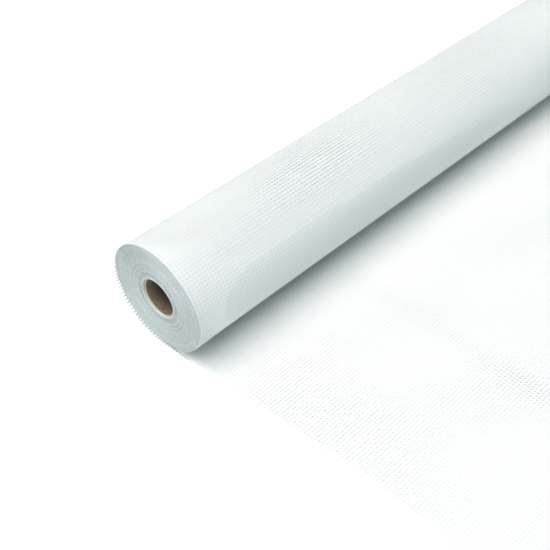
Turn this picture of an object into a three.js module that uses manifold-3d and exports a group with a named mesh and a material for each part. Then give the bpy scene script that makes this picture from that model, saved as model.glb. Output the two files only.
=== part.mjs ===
// A roll of fiberglass mesh lying on the floor, with the outer end of its web unrolled as a flat leaf.
// Millimetres, +Z up. The roll's axis runs along X, the leaf lies towards -Y, and the origin is on the
// floor under the middle of the whole thing.
import * as THREE from 'three';
import { mergeVertices } from 'three/addons/utils/BufferGeometryUtils.js';
import Module from 'manifold-3d';

const wasm = await Module();
wasm.setup();

// The web: its width and how far round it is wound
const webWidth = 1000;
const rollDiameter = 154;

// The paper core
const coreBore = 51;
const coreWall = 2;
const coreRecess = 3.5; // how far the core's ends sit inside the web's edges
const coreClearance = 0.3; // between the core and the first turn

// The unrolled leaf, measured along the floor from the line where the web leaves the roll
const leafLength = 600;
const leafThickness = 0.5;
const trimDepth = 31; // how far the near edge was cut in
const trimStart = 35; // where that slanted cut starts
const trimEnd = 310; // where it has its full depth, and from there it runs straight

// The wound turns as they show on both ends
const looseBandWidth = 6; // the first, loose turns round the core
const looseBandDepth = 2; // how far they sit in
const turnGap = 6; // from one gap between turns to the next
const turnGapWidth = 0.9;
const turnGapDepth = 0.7;

// How the shapes are divided and cut
const roundSegments = 72;
const cutterOverrun = 1; // how far a cutter reaches past the face that it cuts
const mergeDistance = 1e-4;

const rollRadius = rollDiameter / 2;
const coreRadius = coreBore / 2 + coreWall;
const webBoreRadius = coreRadius + coreClearance;
const coreLength = webWidth - 2 * coreRecess;

// Local X, Y and Z of a section drawn across the roll become Y, Z and X
const acrossRoll = new THREE.Matrix4().makeBasis(
  new THREE.Vector3(0, 1, 0),
  new THREE.Vector3(0, 0, 1),
  new THREE.Vector3(1, 0, 0),
);

// The turning axis of a lathe, local Y, becomes X
const alongRoll = new THREE.Matrix4().makeBasis(
  new THREE.Vector3(0, 1, 0),
  new THREE.Vector3(1, 0, 0),
  new THREE.Vector3(0, 0, -1),
);

function turned(section) {
  const points = section.map(([radius, along]) => new THREE.Vector2(radius, along));
  points.push(points[0].clone());
  const ring = new THREE.LatheGeometry(points, roundSegments);
  return ring.applyMatrix4(alongRoll).translate(0, 0, rollRadius);
}

function welded(geometry) {
  geometry.deleteAttribute('normal');
  geometry.deleteAttribute('uv');
  return mergeVertices(geometry, mergeDistance);
}

function toSolid(geometry) {
  const shell = welded(geometry);
  return new wasm.Manifold(new wasm.Mesh({
    numProp: 3,
    vertProperties: new Float32Array(shell.attributes.position.array),
    triVerts: new Uint32Array(shell.index.array),
  }));
}

function toGeometry(solid) {
  const { vertProperties, triVerts } = solid.getMesh();
  const geometry = new THREE.BufferGeometry();
  geometry.setAttribute('position', new THREE.BufferAttribute(vertProperties, 3));
  geometry.setIndex(new THREE.BufferAttribute(triVerts, 1));
  geometry.computeVertexNormals();
  return geometry;
}

// The web from end to end: the round of the turns, running off at the bottom into the flat leaf
function windWeb() {
  const nip = Math.acos(1 - leafThickness / rollRadius); // where the leaf's top meets the last turn
  const section = new THREE.Shape();
  section.moveTo(-leafLength, 0);
  section.lineTo(0, 0);
  section.absarc(0, rollRadius, rollRadius, -Math.PI / 2, 1.5 * Math.PI - nip, false);
  section.lineTo(-leafLength, leafThickness);
  section.closePath();
  const bore = new THREE.Path();
  bore.absarc(0, rollRadius, webBoreRadius, 0, 2 * Math.PI, true);
  section.holes.push(bore);
  const web = new THREE.ExtrudeGeometry(section, {
    depth: webWidth,
    bevelEnabled: false,
    curveSegments: roundSegments,
  });
  return web.translate(0, 0, -webWidth / 2).applyMatrix4(acrossRoll);
}

// A ring cut into one end, end being 1 or -1; its section is [radius, depth below the end's face]
function endCut(section, end) {
  const points = section.map(([radius, depth]) => [radius, end * (webWidth / 2 - depth)]);
  return turned(end > 0 ? points : points.reverse());
}

function looseBandCut(end) {
  const inner = webBoreRadius - cutterOverrun;
  const outer = webBoreRadius + looseBandWidth;
  return endCut([
    [inner, looseBandDepth],
    [outer, looseBandDepth],
    [outer, -cutterOverrun],
    [inner, -cutterOverrun],
  ], end);
}

function turnGapCut(radius, end) {
  const half = turnGapWidth / 2;
  return endCut([
    [radius, turnGapDepth],
    [radius + half, 0],
    [radius + half, -cutterOverrun],
    [radius - half, -cutterOverrun],
    [radius - half, 0],
  ], end);
}

// The near edge of the leaf, cut askew
function trimCut() {
  const edge = -webWidth / 2;
  const outside = edge - cutterOverrun;
  const pastEnd = -leafLength - cutterOverrun;
  const plan = new THREE.Shape();
  plan.moveTo(outside, -trimStart);
  plan.lineTo(outside, pastEnd);
  plan.lineTo(edge + trimDepth, pastEnd);
  plan.lineTo(edge + trimDepth, -trimEnd);
  plan.lineTo(edge, -trimStart);
  plan.closePath();
  const cut = new THREE.ExtrudeGeometry(plan, {
    depth: leafThickness + 2 * cutterOverrun,
    bevelEnabled: false,
  });
  return cut.translate(0, 0, -cutterOverrun);
}

function makeMeshRoll() {
  const cuts = [trimCut()];
  for (const end of [-1, 1]) {
    cuts.push(looseBandCut(end));
    const firstGap = webBoreRadius + looseBandWidth + turnGap;
    for (let radius = firstGap; radius < rollRadius - turnGap / 2; radius += turnGap) {
      cuts.push(turnGapCut(radius, end));
    }
  }
  let roll = toSolid(windWeb());
  for (const cut of cuts) {
    roll = roll.subtract(toSolid(cut));
  }
  return toGeometry(roll);
}

function makeCoreTube() {
  const inner = coreBore / 2;
  const half = coreLength / 2;
  const tube = turned([
    [inner, -half],
    [coreRadius, -half],
    [coreRadius, half],
    [inner, half],
  ]);
  const shell = welded(tube);
  shell.computeVertexNormals();
  return shell;
}

const glassMesh = new THREE.MeshStandardMaterial({ color: 0xdfe7e6, roughness: 0.6, metalness: 0 });
const paperboard = new THREE.MeshStandardMaterial({ color: 0xa58b69, roughness: 0.85, metalness: 0 });

const part = new THREE.Group();
part.position.y = (leafLength - rollRadius) / 2;

const meshRoll = new THREE.Mesh(makeMeshRoll(), glassMesh);
meshRoll.name = 'mesh_roll';
part.add(meshRoll);

const coreTube = new THREE.Mesh(makeCoreTube(), paperboard);
coreTube.name = 'core_tube';
part.add(coreTube);

part.updateMatrixWorld(true);

export default part;
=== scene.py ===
import math

import bpy
import numpy as np
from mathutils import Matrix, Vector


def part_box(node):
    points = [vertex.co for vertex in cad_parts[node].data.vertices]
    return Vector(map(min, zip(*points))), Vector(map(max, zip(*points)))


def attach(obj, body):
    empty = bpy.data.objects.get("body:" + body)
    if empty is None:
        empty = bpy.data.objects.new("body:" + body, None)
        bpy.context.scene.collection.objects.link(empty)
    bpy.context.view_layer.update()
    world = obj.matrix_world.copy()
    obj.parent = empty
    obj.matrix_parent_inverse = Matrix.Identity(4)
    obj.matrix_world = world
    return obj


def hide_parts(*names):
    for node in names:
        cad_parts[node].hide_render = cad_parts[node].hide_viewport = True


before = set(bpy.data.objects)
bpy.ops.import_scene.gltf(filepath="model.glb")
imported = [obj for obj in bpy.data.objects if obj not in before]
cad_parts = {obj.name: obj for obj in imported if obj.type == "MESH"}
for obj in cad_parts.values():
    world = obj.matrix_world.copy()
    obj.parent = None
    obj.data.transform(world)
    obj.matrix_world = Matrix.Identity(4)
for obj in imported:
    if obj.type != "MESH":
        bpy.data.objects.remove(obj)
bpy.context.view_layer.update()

# Where the roll lies, read from the solids: its axis runs along X
coreLow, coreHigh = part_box("core_tube")
webLow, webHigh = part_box("mesh_roll")
axisY = (coreLow.y + coreHigh.y) / 2
axisZ = (coreLow.z + coreHigh.z) / 2
rollRadius = axisZ  # the roll rests on the floor at z = 0
coreRadius = (coreHigh.z - coreLow.z) / 2
webHalf = webHigh.x
leafEnd = webLow.y
coreGap = 0.0003  # between the core and the first turn
sharpAngle = math.radians(30)  # edges that turn by more than this stay sharp

# The weave, measured on the photograph: holes of 5 by 4.85 mm
weave = {
    "warpPitch": 0.005,
    "weftPitch": 0.00485,
    "warpWidth": 0.0013,
    "weftWidth": 0.002,
    "yarnThick": 0.00022,
    "weftTip": 0.0025,  # how far the wefts stick out past the last warp
    "tipWidth": 0.7,  # of the cut tip of a weft, in parts of its width
    "tipReach": 0.001,  # this far from the web's edge a weft's points belong to its tip
    "turnThick": 0.00032,  # one turn of the web in the roll
    "unevenness": 0.00009,  # how far a yarn lies off its place
}
warpCount = round(2 * (webHalf - weave["weftTip"]) / weave["warpPitch"]) + 1
chance = np.random.default_rng(744)
print("frame read: roll radius", round(rollRadius, 4), "core radius", round(coreRadius, 4))


def startPiece():
    if bpy.context.object and bpy.context.object.mode != "OBJECT":
        bpy.ops.object.mode_set(mode="OBJECT")
    bpy.ops.object.select_all(action="DESELECT")


def pieceNow(name):
    piece = bpy.context.object
    piece.name = name
    piece.data.name = name
    bpy.ops.object.transform_apply(location=True, rotation=True, scale=True)
    return piece


def applyModifier(piece, kind, **settings):
    modifier = piece.modifiers.new(kind.lower(), kind)
    for key, value in settings.items():
        setattr(modifier, key, value)
    bpy.context.view_layer.objects.active = piece
    bpy.ops.object.modifier_apply(modifier=modifier.name)


def joinPieces(name, parts):
    bpy.ops.object.select_all(action="DESELECT")
    for part in parts:
        part.select_set(True)
    bpy.context.view_layer.objects.active = parts[0]
    bpy.ops.object.join()
    piece = bpy.context.object
    piece.name = name
    piece.data.name = name
    return piece


def readPoints(piece):
    points = np.empty(len(piece.data.vertices) * 3)
    piece.data.vertices.foreach_get("co", points)
    return points.reshape(-1, 3)


def writePoints(piece, points):
    piece.data.vertices.foreach_set("co", points.ravel())
    piece.data.update()


def spinCopies(count, angle):
    # copies of the active mesh round the roll's axis, each angle further on
    bpy.ops.object.mode_set(mode="EDIT")
    bpy.ops.mesh.select_all(action="SELECT")
    bpy.ops.mesh.spin(steps=count - 1, dupli=True, angle=(count - 1) * angle,
                      center=(0, axisY, axisZ), axis=(1, 0, 0))
    bpy.ops.object.mode_set(mode="OBJECT")


def anglesOf(points):
    # 0 towards +Y, rising over the top of the roll
    return np.arctan2(points[:, 2] - axisZ, points[:, 1] - axisY)


def turnRound(points, angles):
    y = points[:, 1] - axisY
    z = points[:, 2] - axisZ
    points[:, 1] = axisY + y * np.cos(angles) - z * np.sin(angles)
    points[:, 2] = axisZ + y * np.sin(angles) + z * np.cos(angles)


def taperEnds(points, across, cells):
    # the last cell at each end of a weft is short, and its tip is drawn together
    end = np.abs(points[:, 0]) > webHalf * (1 - 1 / cells)
    inner = ~end & (np.abs(points[:, 0]) > webHalf * (1 - 3 / cells))
    points[inner, 0] = np.sign(points[inner, 0]) * (webHalf - weave["weftTip"])
    points[end, across] *= weave["tipWidth"]


def perCopy(places, pitch, spread):
    # one random number for each repeated yarn, told apart by its place
    copies = np.rint((places - places.min()) / pitch).astype(int)
    return chance.normal(0, spread, copies.max() + 1)[copies]


# Colours and materials

def hexColour(text):
    channels = [int(text[i:i + 2], 16) / 255 for i in (1, 3, 5)]
    linear = [c / 12.92 if c <= 0.04045 else ((c + 0.055) / 1.055) ** 2.4 for c in channels]
    return (*linear, 1)


def addNode(tree, kind, settings=None, links=None):
    node = tree.nodes.new(kind)
    for key, value in (settings or {}).items():
        if hasattr(node, str(key)):
            setattr(node, key, value)
        else:
            node.inputs[key].default_value = value
    for socket, source in (links or {}).items():
        tree.links.new(source, node.inputs[socket])
    return node


def addMath(tree, operation, first, second=0.0):
    # first and second are numbers or the outputs of other nodes
    node = tree.nodes.new("ShaderNodeMath")
    node.operation = operation
    for socket, value in zip(node.inputs, (first, second)):
        if isinstance(value, (int, float)):
            socket.default_value = value
        else:
            tree.links.new(value, socket)
    return node.outputs[0]


def mixColours(tree, amount, first, second):
    # first and second are hex colours or the outputs of other nodes
    node = tree.nodes.new("ShaderNodeMix")
    node.data_type = "RGBA"
    tree.links.new(amount, node.inputs[0])
    for socket, colour in ((node.inputs[6], first), (node.inputs[7], second)):
        if isinstance(colour, str):
            socket.default_value = hexColour(colour)
        else:
            tree.links.new(colour, socket)
    return node.outputs[2]


def newMaterial(name):
    material = bpy.data.materials.new(name)
    material.use_nodes = True
    tree = material.node_tree
    shader = tree.nodes["Principled BSDF"]
    return material, tree, shader


# painted shade: the cut tips of the wefts low on the side away from the leaf are painted grey
shadedTips = {
    "shadedTo": 0.0031,  # from the web's edge
    "unshadedFrom": 0.0034,
    "lowFrom": 0.1,  # how far down and away from the leaf they turn grey, in parts of the roll's radius
    "lowTo": 0.7,
    "colour": "#bcc8c8",
}


def coatedGlassYarn(name, tint, shade, stretch):
    # Alkali-proof coated glass roving: milky white, satin, with fine filaments running along it; low on
    # the side away from the leaf its cut ends are painted grey, a painted shade for the teeth there
    material, tree, shader = newMaterial(name)
    place = addNode(tree, "ShaderNodeTexCoord")
    patches = addNode(tree, "ShaderNodeTexNoise", {"Scale": 60.0, "Detail": 3.0},
                      {"Vector": place.outputs["Object"]})
    colour = mixColours(tree, patches.outputs["Fac"], tint, shade)
    parts = addNode(tree, "ShaderNodeSeparateXYZ", None, {0: place.outputs["Object"]})
    fromEnd = addMath(tree, "SUBTRACT", webHalf, addMath(tree, "ABSOLUTE", parts.outputs[0]))
    bare = addNode(tree, "ShaderNodeMapRange", {
        "From Min": shadedTips["shadedTo"], "From Max": shadedTips["unshadedFrom"],
        "To Min": 1.0, "To Max": 0.0}, {"Value": fromEnd})
    below = addMath(tree, "SUBTRACT", parts.outputs[1], parts.outputs[2])
    low = addNode(tree, "ShaderNodeMapRange", {
        "From Min": axisY - axisZ + shadedTips["lowFrom"] * rollRadius,
        "From Max": axisY - axisZ + shadedTips["lowTo"] * rollRadius}, {"Value": below})
    # painted shade: grey mixed into the cut tips where they face down and away from the light
    paintedShade = addMath(tree, "MULTIPLY", bare.outputs[0], low.outputs[0])
    colour = mixColours(tree, paintedShade, colour, shadedTips["colour"])
    drawn = addNode(tree, "ShaderNodeMapping", {"Scale": stretch}, {"Vector": place.outputs["Object"]})
    filaments = addNode(tree, "ShaderNodeTexNoise", {"Scale": 3600.0, "Detail": 2.0},
                        {"Vector": drawn.outputs[0]})
    bump = addNode(tree, "ShaderNodeBump", {"Strength": 0.35, "Distance": 0.0001},
                   {"Height": filaments.outputs["Fac"]})
    tree.links.new(colour, shader.inputs["Base Color"])
    tree.links.new(bump.outputs["Normal"], shader.inputs["Normal"])
    shader.inputs["Roughness"].default_value = 0.55
    shader.inputs["IOR"].default_value = 1.5
    return material


# painted shade: dark specks in the gaps between the loose first turns round the core
looseSpecks = {
    "radius": 0.0335,  # the middle of the ring of specks
    "fullTo": 0.0012,  # either side of it they are at their strongest, and further out they fade
    "fadedAt": 0.004,
    "strength": 0.6,
    "colour": "#768a8e",
}


def cutGlassEnds():
    # The bare ends of the wefts over both ends of the roll: greyer, turn by turn a little lighter or
    # darker, so that faint rings show, with dark specks of painted shade between the loose first turns
    material, tree, shader = newMaterial("cutGlassEnds")
    place = addNode(tree, "ShaderNodeTexCoord")
    centred = addNode(tree, "ShaderNodeMapping", {"Location": (0, -axisY, -axisZ), "Scale": (0, 1, 1)},
                      {"Vector": place.outputs["Object"]})
    radius = addNode(tree, "ShaderNodeVectorMath", {"operation": "LENGTH"}, {0: centred.outputs[0]})
    turn = addNode(tree, "ShaderNodeTexNoise", {"noise_dimensions": "1D", "Scale": 330.0, "Detail": 3.0},
                   {"W": radius.outputs["Value"]})
    spread = addNode(tree, "ShaderNodeMapRange", {"From Min": 0.3, "From Max": 0.7},
                     {"Value": turn.outputs["Fac"]})
    colour = mixColours(tree, spread.outputs[0], "#f3f7f7", "#dfe8e8")
    # painted shade: dark specks in a ring over the loose first turns
    fromRing = addMath(tree, "SUBTRACT", radius.outputs["Value"], looseSpecks["radius"])
    loose = addNode(tree, "ShaderNodeMapRange", {
        "From Min": looseSpecks["fullTo"], "From Max": looseSpecks["fadedAt"],
        "To Min": looseSpecks["strength"], "To Max": 0.0}, {"Value": addMath(tree, "ABSOLUTE", fromRing)})
    specks = addNode(tree, "ShaderNodeTexNoise", {"Scale": 700.0}, {"Vector": place.outputs["Object"]})
    dark = addNode(tree, "ShaderNodeMapRange", {"From Min": 0.42, "From Max": 0.58},
                   {"Value": specks.outputs["Fac"]})
    gapShade = addMath(tree, "MULTIPLY", loose.outputs[0], dark.outputs[0])
    colour = mixColours(tree, gapShade, colour, looseSpecks["colour"])
    patches = addNode(tree, "ShaderNodeTexNoise", {"Scale": 90.0, "Detail": 4.0},
                      {"Vector": place.outputs["Object"]})
    fade = addMath(tree, "MULTIPLY", patches.outputs["Fac"], 0.35)
    colour = mixColours(tree, fade, colour, "#c3d0d0")
    grain = addNode(tree, "ShaderNodeTexNoise", {"Scale": 2400.0}, {"Vector": place.outputs["Object"]})
    bump = addNode(tree, "ShaderNodeBump", {"Strength": 0.3, "Distance": 0.0001},
                   {"Height": grain.outputs["Fac"]})
    tree.links.new(colour, shader.inputs["Base Color"])
    tree.links.new(bump.outputs["Normal"], shader.inputs["Normal"])
    shader.inputs["Roughness"].default_value = 0.6
    return material


def turnsBelow():
    # The turns under the outer two: the same net, seen as pale lines that drift against the yarns above;
    # the openings between the lines are painted a little darker, a painted shade of the turns deeper down
    material, tree, shader = newMaterial("glassNetBelow")
    surface = addNode(tree, "ShaderNodeTexCoord")
    drift = addNode(tree, "ShaderNodeTexNoise", {"Scale": 4.0}, {"Vector": surface.outputs["Object"]})
    parts = addNode(tree, "ShaderNodeSeparateXYZ", None, {0: surface.outputs["Object"]})
    shift = addMath(tree, "MULTIPLY", drift.outputs["Fac"], 2.0)
    alongRoll = addMath(tree, "MULTIPLY", parts.outputs[0], 1 / weave["warpPitch"])
    angle = addMath(tree, "ARCTAN2", addMath(tree, "SUBTRACT", parts.outputs[2], axisZ),
                    addMath(tree, "SUBTRACT", parts.outputs[1], axisY))
    roundRoll = addMath(tree, "MULTIPLY", angle, rollRadius / weave["weftPitch"])
    yarns = []
    for count, width in ((alongRoll, weave["warpWidth"]), (roundRoll, weave["weftWidth"])):
        place = addMath(tree, "FRACT", addMath(tree, "ADD", count, shift))
        offLine = addMath(tree, "ABSOLUTE", addMath(tree, "SUBTRACT", place, 0.5))
        yarns.append(addMath(tree, "LESS_THAN", offLine, width / weave["warpPitch"] / 2))
    # painted shade: the openings between the lines are darker than the lines
    colour = mixColours(tree, addMath(tree, "MAXIMUM", *yarns), "#e4ebeb", "#f0f5f5")
    grain = addNode(tree, "ShaderNodeTexNoise", {"Scale": 1500.0}, {"Vector": surface.outputs["Object"]})
    bump = addNode(tree, "ShaderNodeBump", {"Strength": 0.4, "Distance": 0.0002},
                   {"Height": grain.outputs["Fac"]})
    tree.links.new(colour, shader.inputs["Base Color"])
    tree.links.new(bump.outputs["Normal"], shader.inputs["Normal"])
    shader.inputs["Roughness"].default_value = 0.65
    return material


board = {
    "ply": 0.09,  # from one seam to the next along the tube
    "seam": 0.02,  # its width, in parts of the ply
    "darkFrom": 0.005,
    "darkTo": 0.032,
    "nick": (-0.4908, 0.2631, 0.0515),  # a small dark nick low in the bore, near its mouth
    "nickRadius": 0.0006,
    "nickFade": 0.0014,
    "cutFacing": 0.9,  # a face whose normal lies this much along the tube is its cut end
}


def kraftBoard():
    # Spiral-wound kraft paperboard: matte brown and flecked inside, with the seams of its ply running
    # round in a long helix; its cut ends are paler, and the bore is painted darker further in, a painted
    # shade
    material, tree, shader = newMaterial("kraftBoard")
    place = addNode(tree, "ShaderNodeTexCoord")
    parts = addNode(tree, "ShaderNodeSeparateXYZ", None, {0: place.outputs["Object"]})
    facing = addNode(tree, "ShaderNodeSeparateXYZ", None, {0: place.outputs["Normal"]})
    flecks = addNode(tree, "ShaderNodeTexNoise", {"Scale": 420.0, "Detail": 4.0},
                     {"Vector": place.outputs["Object"]})
    colour = mixColours(tree, flecks.outputs["Fac"], "#a19079", "#7d6a54")
    angle = addMath(tree, "ARCTAN2", addMath(tree, "SUBTRACT", parts.outputs[2], axisZ),
                    addMath(tree, "SUBTRACT", parts.outputs[1], axisY))
    helix = addMath(tree, "ADD", addMath(tree, "MULTIPLY", parts.outputs[0], 1 / board["ply"]),
                    addMath(tree, "MULTIPLY", angle, 0.5 / math.pi))
    seam = addMath(tree, "LESS_THAN", addMath(tree, "FRACT", helix), board["seam"])
    colour = mixColours(tree, addMath(tree, "MULTIPLY", seam, 0.5), colour, "#4f4335")
    # painted shade: the bore darkens with distance from its mouths
    depth = addMath(tree, "SUBTRACT", webHalf, addMath(tree, "ABSOLUTE", parts.outputs[0]))
    boreShade = addNode(tree, "ShaderNodeMapRange", {"From Min": board["darkFrom"], "From Max": board["darkTo"],
                                                "To Max": 0.9}, {"Value": depth})
    colour = mixColours(tree, boreShade.outputs[0], colour, "#2c261f")
    away = addNode(tree, "ShaderNodeVectorMath", {"operation": "DISTANCE", 1: board["nick"]},
                   {0: place.outputs["Object"]})
    nick = addNode(tree, "ShaderNodeMapRange", {
        "From Min": board["nickRadius"], "From Max": board["nickFade"],
        "To Min": 0.8, "To Max": 0.0}, {"Value": away.outputs["Value"]})
    colour = mixColours(tree, nick.outputs[0], colour, "#2f2820")
    alongTube = addMath(tree, "ABSOLUTE", facing.outputs[0])
    cutEnd = addMath(tree, "GREATER_THAN", alongTube, board["cutFacing"])
    colour = mixColours(tree, cutEnd, colour, "#bfb196")
    bump = addNode(tree, "ShaderNodeBump", {"Strength": 0.3, "Distance": 0.0002},
                   {"Height": flecks.outputs["Fac"]})
    tree.links.new(colour, shader.inputs["Base Color"])
    tree.links.new(bump.outputs["Normal"], shader.inputs["Normal"])
    shader.inputs["Roughness"].default_value = 0.9
    return material


roundStretch = (1, 0.06, 0.06)  # filaments that run round the roll, or along the leaf
crossStretch = (0.06, 1, 1)  # filaments that run along the roll
warpYarn = coatedGlassYarn("coatedGlassWarp", "#fafbfb", "#f3f6f6", roundStretch)
weftYarn = coatedGlassYarn("coatedGlassWeft", "#fafbfb", "#f3f6f6", crossStretch)
innerYarn = coatedGlassYarn("coatedGlassSecondTurn", "#f6f9f9", "#f0f4f4", crossStretch)
cutYarn = cutGlassEnds()
netBelow = turnsBelow()
paperBoard = kraftBoard()
print("materials made")


# The leaf: the unrolled end of the web, flat on the floor, its near edge cut askew

leaf = {
    "warpCells": 36,
    "weftCells": 48,
    "warpHeight": 0.00012,  # of the middle of a warp above the floor
    "weftHeight": 0.00027,
    "stub": 0.0006,  # the least that a cut weft sticks out past a warp
    "raggedCut": 2,  # how much more unevenly the wefts are cut than laid
    "ripple": 0.0003,
    "rippleLength": 0.19,
    "rippleSlant": 0.5,
    "rippleChange": 11,  # how fast the ripples change from one side of the leaf to the other
    "flatNear": 0.05,  # the leaf lies flat this far from the roll's axis
    "flatFade": 0.1,  # and takes on its ripples over this length
    "foldAt": -0.24,  # a slight fold along the warps
    "foldHeight": 0.0011,
    "foldWidth": 0.012,
}


def straightYarn(name, length, width, along, cells):
    # a straight flat yarn along X or Y, its middle at the origin, divided into cells
    startPiece()
    size = (length, width, weave["yarnThick"]) if along == "X" else (width, length, weave["yarnThick"])
    bpy.ops.mesh.primitive_cube_add(size=1, scale=size)
    yarn = pieceNow(name)
    direction = 0 if along == "X" else 1
    bpy.ops.object.mode_set(mode="EDIT")
    bpy.ops.mesh.select_mode(type="EDGE")
    bpy.ops.mesh.select_all(action="DESELECT")
    bpy.ops.object.mode_set(mode="OBJECT")
    for edge in yarn.data.edges:
        first, second = (yarn.data.vertices[i].co for i in edge.vertices)
        edge.select = abs(first[direction] - second[direction]) > length / 2
    bpy.ops.object.mode_set(mode="EDIT")
    bpy.ops.mesh.subdivide(number_cuts=cells - 1)
    bpy.ops.object.mode_set(mode="OBJECT")
    return yarn


def readTrim():
    # the slanted near edge of the leaf, from the corners of the solid on the floor
    near = 0.0001  # points this close to a line lie on it
    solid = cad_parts["mesh_roll"]
    points = readPoints(solid)
    low = points[(points[:, 2] < webLow.z + near) & (points[:, 0] < 0)]
    cutTo = low[low[:, 1] < leafEnd + near][:, 0].min()
    cutStart = low[low[:, 0] < webLow.x + near][:, 1].min()
    cutEnd = low[np.abs(low[:, 0] - cutTo) < near][:, 1].max()
    return cutTo, cutStart, cutEnd


def leafRise(points):
    away = np.clip((axisY - leaf["flatNear"] - points[:, 1]) / leaf["flatFade"], 0, 1)
    along = points[:, 0] * leaf["rippleSlant"] + points[:, 1]
    waves = np.sin(along * 2 * math.pi / leaf["rippleLength"])
    waves = leaf["ripple"] * (1 + waves * np.cos(points[:, 0] * leaf["rippleChange"]))
    fold = leaf["foldHeight"] * np.exp(-((points[:, 0] - leaf["foldAt"]) / leaf["foldWidth"]) ** 2)
    return away * (waves + fold)


def makeLeaf():
    length = axisY - leafEnd
    weftCount = int(length / weave["weftPitch"])
    cutTo, cutStart, cutEnd = readTrim()

    warps = straightYarn("leaf_warps", length, weave["warpWidth"], "Y", leaf["warpCells"])
    warps.data.materials.append(warpYarn)
    applyModifier(warps, "ARRAY", count=warpCount, use_relative_offset=False,
                  use_constant_offset=True, constant_offset_displace=(weave["warpPitch"], 0, 0))
    points = readPoints(warps)
    points += (-(warpCount - 1) / 2 * weave["warpPitch"], (axisY + leafEnd) / 2, leaf["warpHeight"])
    row = np.rint(points[:, 0] / weave["warpPitch"] - 0.5) * weave["warpPitch"] + weave["warpPitch"] / 2
    room = row - weave["warpWidth"] / 2 - leaf["stub"]
    cut = np.interp(room, (-webHalf, cutTo), (cutStart, cutEnd), right=leafEnd)
    points[:, 1] = axisY + (points[:, 1] - axisY) * (axisY - cut) / length
    points[:, 0] += perCopy(points[:, 0], weave["warpPitch"], weave["unevenness"])
    points[:, 2] += leafRise(points)
    writePoints(warps, points)

    wefts = straightYarn("leaf_wefts", 2 * webHalf, weave["weftWidth"], "X", leaf["weftCells"])
    wefts.data.materials.append(weftYarn)
    points = readPoints(wefts)
    taperEnds(points, 1, leaf["weftCells"])
    writePoints(wefts, points)
    applyModifier(wefts, "ARRAY", count=weftCount, use_relative_offset=False,
                  use_constant_offset=True, constant_offset_displace=(0, -weave["weftPitch"], 0))
    points = readPoints(wefts)
    points += (0, axisY - weave["weftPitch"] / 2, leaf["weftHeight"])
    nearEdge = np.interp(-points[:, 1], (-cutStart, -cutEnd), (-webHalf, cutTo))
    ragged = np.abs(perCopy(points[:, 1], weave["weftPitch"], leaf["raggedCut"] * weave["unevenness"]))
    points[:, 0] += (nearEdge + ragged + webHalf) * np.clip(-points[:, 0] / webHalf, 0, 1)
    points[:, 1] += perCopy(points[:, 1], weave["weftPitch"], weave["unevenness"])
    points[:, 2] += leafRise(points)
    writePoints(wefts, points)
    return joinPieces("leaf_net", [warps, wefts]), weftCount


# The outer turns: nets wound round the roll

turns = {
    "segments": 72,
    "weftCells": 20,
    "outerDepth": 0.0001,  # of the outer turn under the roll's radius
    "secondDepth": 0.0005,
    "secondShift": 0.0003,  # of the second turn's warps against the outer ones
    "secondPhase": 0.26,  # of its wefts, in parts of their pitch
    "weftUnder": 1.1,  # of the wefts under the warps, in parts of a yarn's thickness
    "raggedTips": 3,  # how much more unevenly the wefts are cut than laid
    "drift": 0.00025,  # how far a turn wanders to and fro
    "warpWaves": 26,
    "weftWaves": 19,
}


def makeTurn(name, radius, shift, phase, driftStart, materials):
    startPiece()
    bpy.ops.mesh.primitive_cylinder_add(
        vertices=turns["segments"], radius=radius, depth=weave["warpWidth"], end_fill_type="NOTHING",
        location=(-(warpCount - 1) / 2 * weave["warpPitch"], axisY, axisZ), rotation=(0, math.pi / 2, 0))
    hoops = pieceNow(name + "_hoops")
    hoops.data.materials.append(materials[0])
    applyModifier(hoops, "SOLIDIFY", thickness=weave["yarnThick"], offset=-1)
    applyModifier(hoops, "ARRAY", count=warpCount, use_relative_offset=False,
                  use_constant_offset=True, constant_offset_displace=(weave["warpPitch"], 0, 0))
    points = readPoints(hoops)
    points[:, 0] += shift + perCopy(points[:, 0], weave["warpPitch"], weave["unevenness"])
    writePoints(hoops, points)

    weftRadius = radius - weave["yarnThick"] * turns["weftUnder"]
    weftCount = round(2 * math.pi * rollRadius / weave["weftPitch"])
    weftAngle = 2 * math.pi / weftCount
    wefts = straightYarn(name + "_wefts", 2 * webHalf, weave["weftWidth"], "X", turns["weftCells"])
    wefts.data.materials.append(materials[1])
    points = readPoints(wefts)
    taperEnds(points, 1, turns["weftCells"])
    points += (0, axisY, axisZ - weftRadius)
    writePoints(wefts, points)
    spinCopies(weftCount, weftAngle)
    points = readPoints(wefts)
    angles = anglesOf(points)
    tips = np.sign(points[:, 0]) * (np.abs(points[:, 0]) > webHalf - weave["tipReach"])
    points[:, 0] -= tips * np.abs(perCopy(angles, weftAngle, turns["raggedTips"] * weave["unevenness"]))
    turnRound(points, phase * weftAngle + perCopy(angles, weftAngle, weave["unevenness"]) / weftRadius)
    writePoints(wefts, points)

    turn = joinPieces(name, [hoops, wefts])
    points = readPoints(turn)
    angles = anglesOf(points)
    sway = np.sin(points[:, 0] * turns["weftWaves"] + driftStart)
    wander = np.sin(points[:, 0] * turns["warpWaves"] + driftStart) + np.sin(2 * angles + driftStart)
    points[:, 0] += turns["drift"] * wander / 2
    turnRound(points, turns["drift"] * sway / radius)
    writePoints(turn, points)
    bpy.ops.object.shade_smooth_by_angle(angle=sharpAngle)
    return turn


# How the near end of the roll has settled

settled = {
    "reach": 0.09,  # how far along the roll the shape of its near end goes
    "wider": 0.0018,  # on either side
    "lower": 0.0022,  # at the top
    "lifted": 0.002,  # off the floor, at its lowest
    "standOut": 0.0022,  # on the side away from the leaf
    "teeth": 0.003,  # how far the last turn's wefts stand out along the underside
    "under": ((-135, -112, 0, 30), (0, 1, 1, 0)),  # degrees round the roll, and how much is underside
    # how far inside the edge the yarns of the last turn lie, and how far once the edge is laid flat
    "flat": ((0, 0.0018, 0.0032, 0.0075), (0.0001, 0.0005, 0.0018, 0.0075)),
}


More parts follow.
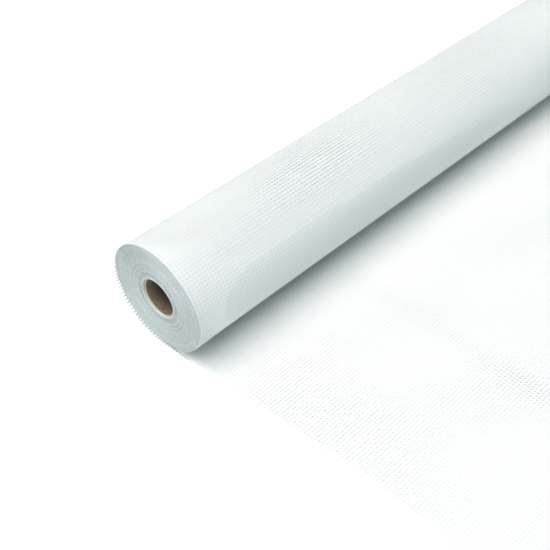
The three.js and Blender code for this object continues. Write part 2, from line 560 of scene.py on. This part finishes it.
def settleNearEnd(piece, last):
    # the near end as it lies: a little oval, its edge over the top and in front laid flat, so that the
    # last warp lies right at the edge, while along the underside the wefts of the last turn stand free
    points = readPoints(piece)
    under = np.interp(np.degrees(anglesOf(points)), *settled["under"])
    inside = points[:, 0] + webHalf
    tips = last & (inside < weave["tipReach"])
    if last:
        before, after = settled["flat"]
        flat = np.where(inside < before[-1], np.interp(inside, before, after), inside)
        points[:, 0] += (1 - under) * (flat - inside)
    near = np.clip((settled["reach"] - inside) / settled["reach"], 0, 1)
    aside = (points[:, 1] - axisY) / rollRadius
    above = (points[:, 2] - axisZ) / rollRadius
    points[:, 0] -= near * settled["standOut"] * np.clip(aside, 0, None) + tips * under * settled["teeth"]
    points[:, 1] += near * settled["wider"] * aside
    points[:, 2] -= near * np.where(above > 0, settled["lower"], settled["lifted"]) * above
    writePoints(piece, points)


# The ends of the roll: the cut ends of the wefts, turn upon turn, over the round body of the turns

ends = {
    "ringStep": 0.00062,  # every other turn
    "depth": 0.0006,  # of the wefts' ends inside the web's edge
    "wander": ((0.00022, 570), (0.00018, 1460)),  # how the depth changes from turn to turn
    "sunkRadius": 0.062,  # of a few turns that sit deeper
    "sunkWidth": 0.0025,
    "sunkDepth": 0.0006,
    "looseStep": 0.0014,
    "looseTo": 0.0352,  # the first turns round the core are loose and sit deeper, out to this radius
    "looseDepth": 0.0003,
    "length": 0.0024,
    "thick": 0.00028,
    "lean": 0.0003,
    "facing": 0.9,  # a face whose normal lies this much along the roll belongs to its end
    "bodySegments": 96,
    "bodyStep": 0.004,
    "bodyRim": 0.99,  # further out than this part of its radius a face lies on the body's outside
    "firstWarp": 0.0006,  # the width of the first turn's last warp, a collar round the bore
    "firstWarpStep": 0.0001,
}


def endDepth(radius):
    # how far inside the web's edge the wefts of the turn at this radius end
    wander = sum(height * math.sin(radius * waves) for height, waves in ends["wander"])
    sunk = ends["sunkDepth"] * math.exp(-((radius - ends["sunkRadius"]) / ends["sunkWidth"]) ** 2)
    loose = ends["looseDepth"] if radius < ends["looseTo"] else 0
    return ends["depth"] + wander + sunk + loose


def makeRing(radius):
    depth = endDepth(radius)
    count = int(2 * math.pi * radius / weave["weftPitch"])
    step = 2 * math.pi / count
    startPiece()
    bpy.ops.mesh.primitive_cube_add(
        size=1, scale=(ends["length"], ends["thick"], weave["weftWidth"]),
        location=(depth + ends["length"] / 2 - webHalf, axisY + radius, axisZ))
    ring = pieceNow("weft_ends")
    spinCopies(count, step)
    points = readPoints(ring)
    angles = anglesOf(points)
    tips = points[:, 0] < depth + ends["length"] / 2 - webHalf
    turnRound(points, tips * perCopy(angles, step, ends["lean"]) / radius + chance.uniform(0, step))
    points[:, 0] += tips * perCopy(angles, step, ends["lean"])
    outwards = 1 + tips * perCopy(angles, step, ends["lean"]) / radius
    points[:, 1] = axisY + (points[:, 1] - axisY) * outwards
    points[:, 2] = axisZ + (points[:, 2] - axisZ) * outwards
    writePoints(ring, points)
    return ring


def makeWeftEnds():
    rings = []
    radius = coreRadius + ends["looseStep"]
    while radius < rollRadius - turns["secondDepth"] - weave["turnThick"]:
        rings.append(makeRing(radius))
        radius += ends["looseStep"] if radius < ends["looseTo"] else ends["ringStep"]
    near = joinPieces("weft_ends_near", rings)
    near.data.materials.append(cutYarn)
    bpy.ops.object.duplicate()
    far = bpy.context.object
    far.name = "weft_ends_far"
    far.data.name = far.name
    points = readPoints(far)
    points[:, 0] *= -1
    points[:, 1] = 2 * axisY - points[:, 1]
    writePoints(far, points)
    return near, far


def makeWoundBody():
    outer = rollRadius - turns["secondDepth"] - weave["turnThick"]
    inner = coreRadius + coreGap + ends["firstWarp"] + ends["firstWarpStep"]
    startPiece()
    bpy.ops.mesh.primitive_cylinder_add(
        vertices=ends["bodySegments"], radius=outer, depth=2 * (webHalf - ends["length"]),
        location=(0, axisY, axisZ), rotation=(0, math.pi / 2, 0))
    body = pieceNow("wound_turns")
    steps = int((outer - inner) / ends["bodyStep"])
    for end in (-1, 1):
        bpy.ops.object.mode_set(mode="EDIT")
        bpy.ops.mesh.select_mode(type="FACE")
        bpy.ops.mesh.select_all(action="DESELECT")
        bpy.ops.object.mode_set(mode="OBJECT")
        for face in body.data.polygons:
            face.select = face.normal.x * end > ends["facing"]
        bpy.ops.object.mode_set(mode="EDIT")
        depth = endDepth(outer)
        for step in range(steps):
            radius = outer - (step + 1) * (outer - inner) / steps
            bpy.ops.mesh.inset(thickness=(outer - inner) / steps, depth=depth - endDepth(radius))
            depth = endDepth(radius)
        bpy.ops.mesh.inset(thickness=ends["firstWarpStep"], depth=ends["length"] - ends["looseDepth"])
        bpy.ops.mesh.inset(thickness=ends["firstWarp"], depth=0)
        bpy.ops.mesh.delete(type="FACE")
        bpy.ops.object.mode_set(mode="OBJECT")
    bpy.ops.object.mode_set(mode="EDIT")
    bpy.ops.mesh.select_mode(type="EDGE")
    bpy.ops.mesh.select_all(action="DESELECT")
    bpy.ops.mesh.select_non_manifold()
    bpy.ops.mesh.bridge_edge_loops()
    bpy.ops.object.mode_set(mode="OBJECT")
    bpy.ops.object.shade_smooth_by_angle(angle=sharpAngle)
    body.data.materials.append(netBelow)
    body.data.materials.append(cutYarn)
    for face in body.data.polygons:
        fromAxis = math.hypot(face.center.y - axisY, face.center.z - axisZ)
        face.material_index = int(fromAxis < outer * ends["bodyRim"])
    return body


leafNet, leafWefts = makeLeaf()
print("leaf made:", len(leafNet.data.polygons), "faces")
outerTurn = makeTurn("outer_turn", rollRadius - turns["outerDepth"], 0, 0, 0.4, (warpYarn, weftYarn))
secondTurn = makeTurn("second_turn", rollRadius - turns["secondDepth"], turns["secondShift"],
                      turns["secondPhase"], 2.1, (innerYarn, innerYarn))
print("turns made:", len(outerTurn.data.polygons), "faces each")
nearEnds, farEnds = makeWeftEnds()
print("weft ends made:", len(nearEnds.data.polygons), "faces each")
woundBody = makeWoundBody()
print("wound body made:", len(woundBody.data.polygons), "faces")

for piece in (outerTurn, secondTurn, nearEnds, woundBody):
    settleNearEnd(piece, piece == outerTurn)

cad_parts["core_tube"].data.materials.clear()
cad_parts["core_tube"].data.materials.append(paperBoard)

for piece in (leafNet, outerTurn, secondTurn, nearEnds, farEnds, woundBody):
    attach(piece, "root")
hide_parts("mesh_roll")

print("pieces placed")


# The stage: a white floor, an even sky and a wide soft light from above

stage = {
    "sun": 2.96,
    "sunAngle": 56,
    "sunTilt": 14,  # towards the near end
    "sunBack": 1,  # towards the far side of the roll
    "sunColour": (1, 0.915, 0.905),
    "sky": (0.66, 0.98, 1.0, 1),
    "skyLow": 0.27,  # its strength at the horizon
    "skyHigh": 0.32,  # and overhead
    "floorSize": 60,
    "floorDrop": 0.0002,  # so that it doesn't touch the leaf
    "floorGlow": 0.3,  # beside the web, where the photograph's ground is cut out to pure white
    "glowFade": 0.015,  # over this length beside the web
    "glowBehind": 0.5,  # from here to the roll's back it comes up, in parts of the roll's radius
}


def makeStage():
    startPiece()
    bpy.ops.mesh.primitive_plane_add(size=stage["floorSize"], location=(0, 0, -stage["floorDrop"]))
    floor = pieceNow("floor")
    material, tree, shader = newMaterial("whiteFloor")
    place = addNode(tree, "ShaderNodeTexCoord")
    parts = addNode(tree, "ShaderNodeSeparateXYZ", None, {0: place.outputs["Object"]})
    before = addNode(tree, "ShaderNodeMapRange", {
        "From Min": -webHalf, "From Max": stage["glowFade"] - webHalf,
        "To Min": stage["floorGlow"], "To Max": 0.0}, {"Value": parts.outputs[0]})
    behind = addNode(tree, "ShaderNodeMapRange", {
        "From Min": axisY + stage["glowBehind"] * rollRadius, "From Max": axisY + rollRadius,
        "To Min": 0.0, "To Max": stage["floorGlow"]}, {"Value": parts.outputs[1]})
    glow = addMath(tree, "MAXIMUM", before.outputs[0], behind.outputs[0])
    tree.links.new(glow, shader.inputs["Emission Strength"])
    shader.inputs["Emission Color"].default_value = (1, 1, 1, 1)
    shader.inputs["Base Color"].default_value = hexColour("#f2f3f3")
    shader.inputs["Roughness"].default_value = 0.9
    floor.data.materials.append(material)

    bpy.ops.object.light_add(type="SUN", location=(0, 0, 3), rotation=(
        math.radians(-stage["sunBack"]), math.radians(-stage["sunTilt"]), 0))
    sun = bpy.context.object
    sun.name = "softLight"
    sun.data.energy = stage["sun"]
    sun.data.angle = math.radians(stage["sunAngle"])
    sun.data.color = stage["sunColour"]

    world = bpy.data.worlds.new("whiteStudio")
    bpy.context.scene.world = world
    world.use_nodes = True
    tree = world.node_tree
    sky = tree.nodes["Background"]
    sky.inputs["Color"].default_value = stage["sky"]
    place = addNode(tree, "ShaderNodeTexCoord")
    parts = addNode(tree, "ShaderNodeSeparateXYZ", None, {0: place.outputs["Generated"]})
    height = addNode(tree, "ShaderNodeMapRange", {"To Min": stage["skyLow"], "To Max": stage["skyHigh"]},
                     {"Value": parts.outputs[2]})
    tree.links.new(height.outputs[0], sky.inputs["Strength"])
    seen = addNode(tree, "ShaderNodeBackground", {"Strength": 1.0})
    seen.inputs["Color"].default_value = (1, 1, 1, 1)
    rays = addNode(tree, "ShaderNodeLightPath")
    mixed = addNode(tree, "ShaderNodeMixShader", None, {
        0: rays.outputs["Is Camera Ray"], 1: sky.outputs[0], 2: seen.outputs[0]})
    tree.links.new(mixed.outputs[0], tree.nodes["World Output"].inputs["Surface"])
    bpy.context.scene.view_settings.view_transform = "Standard"


# The camera, fitted to the roll's outlines and its end in the photograph, a frame of 550 by 550

view = {
    "place": (-0.96375, -0.39538, 0.87646),
    "heading": 45.464,
    "down": 43.835,
    "lens": 60.704,
    "sensor": 36,
}


def makeCamera():
    bpy.ops.object.camera_add(location=view["place"], rotation=(
        math.radians(90 - view["down"]), 0, math.radians(-view["heading"])))
    camera = bpy.context.object
    camera.data.lens = view["lens"]
    camera.data.sensor_width = view["sensor"]
    bpy.context.scene.camera = camera


makeStage()
makeCamera()
print("stage and camera made")

bpy.context.view_layer.update()
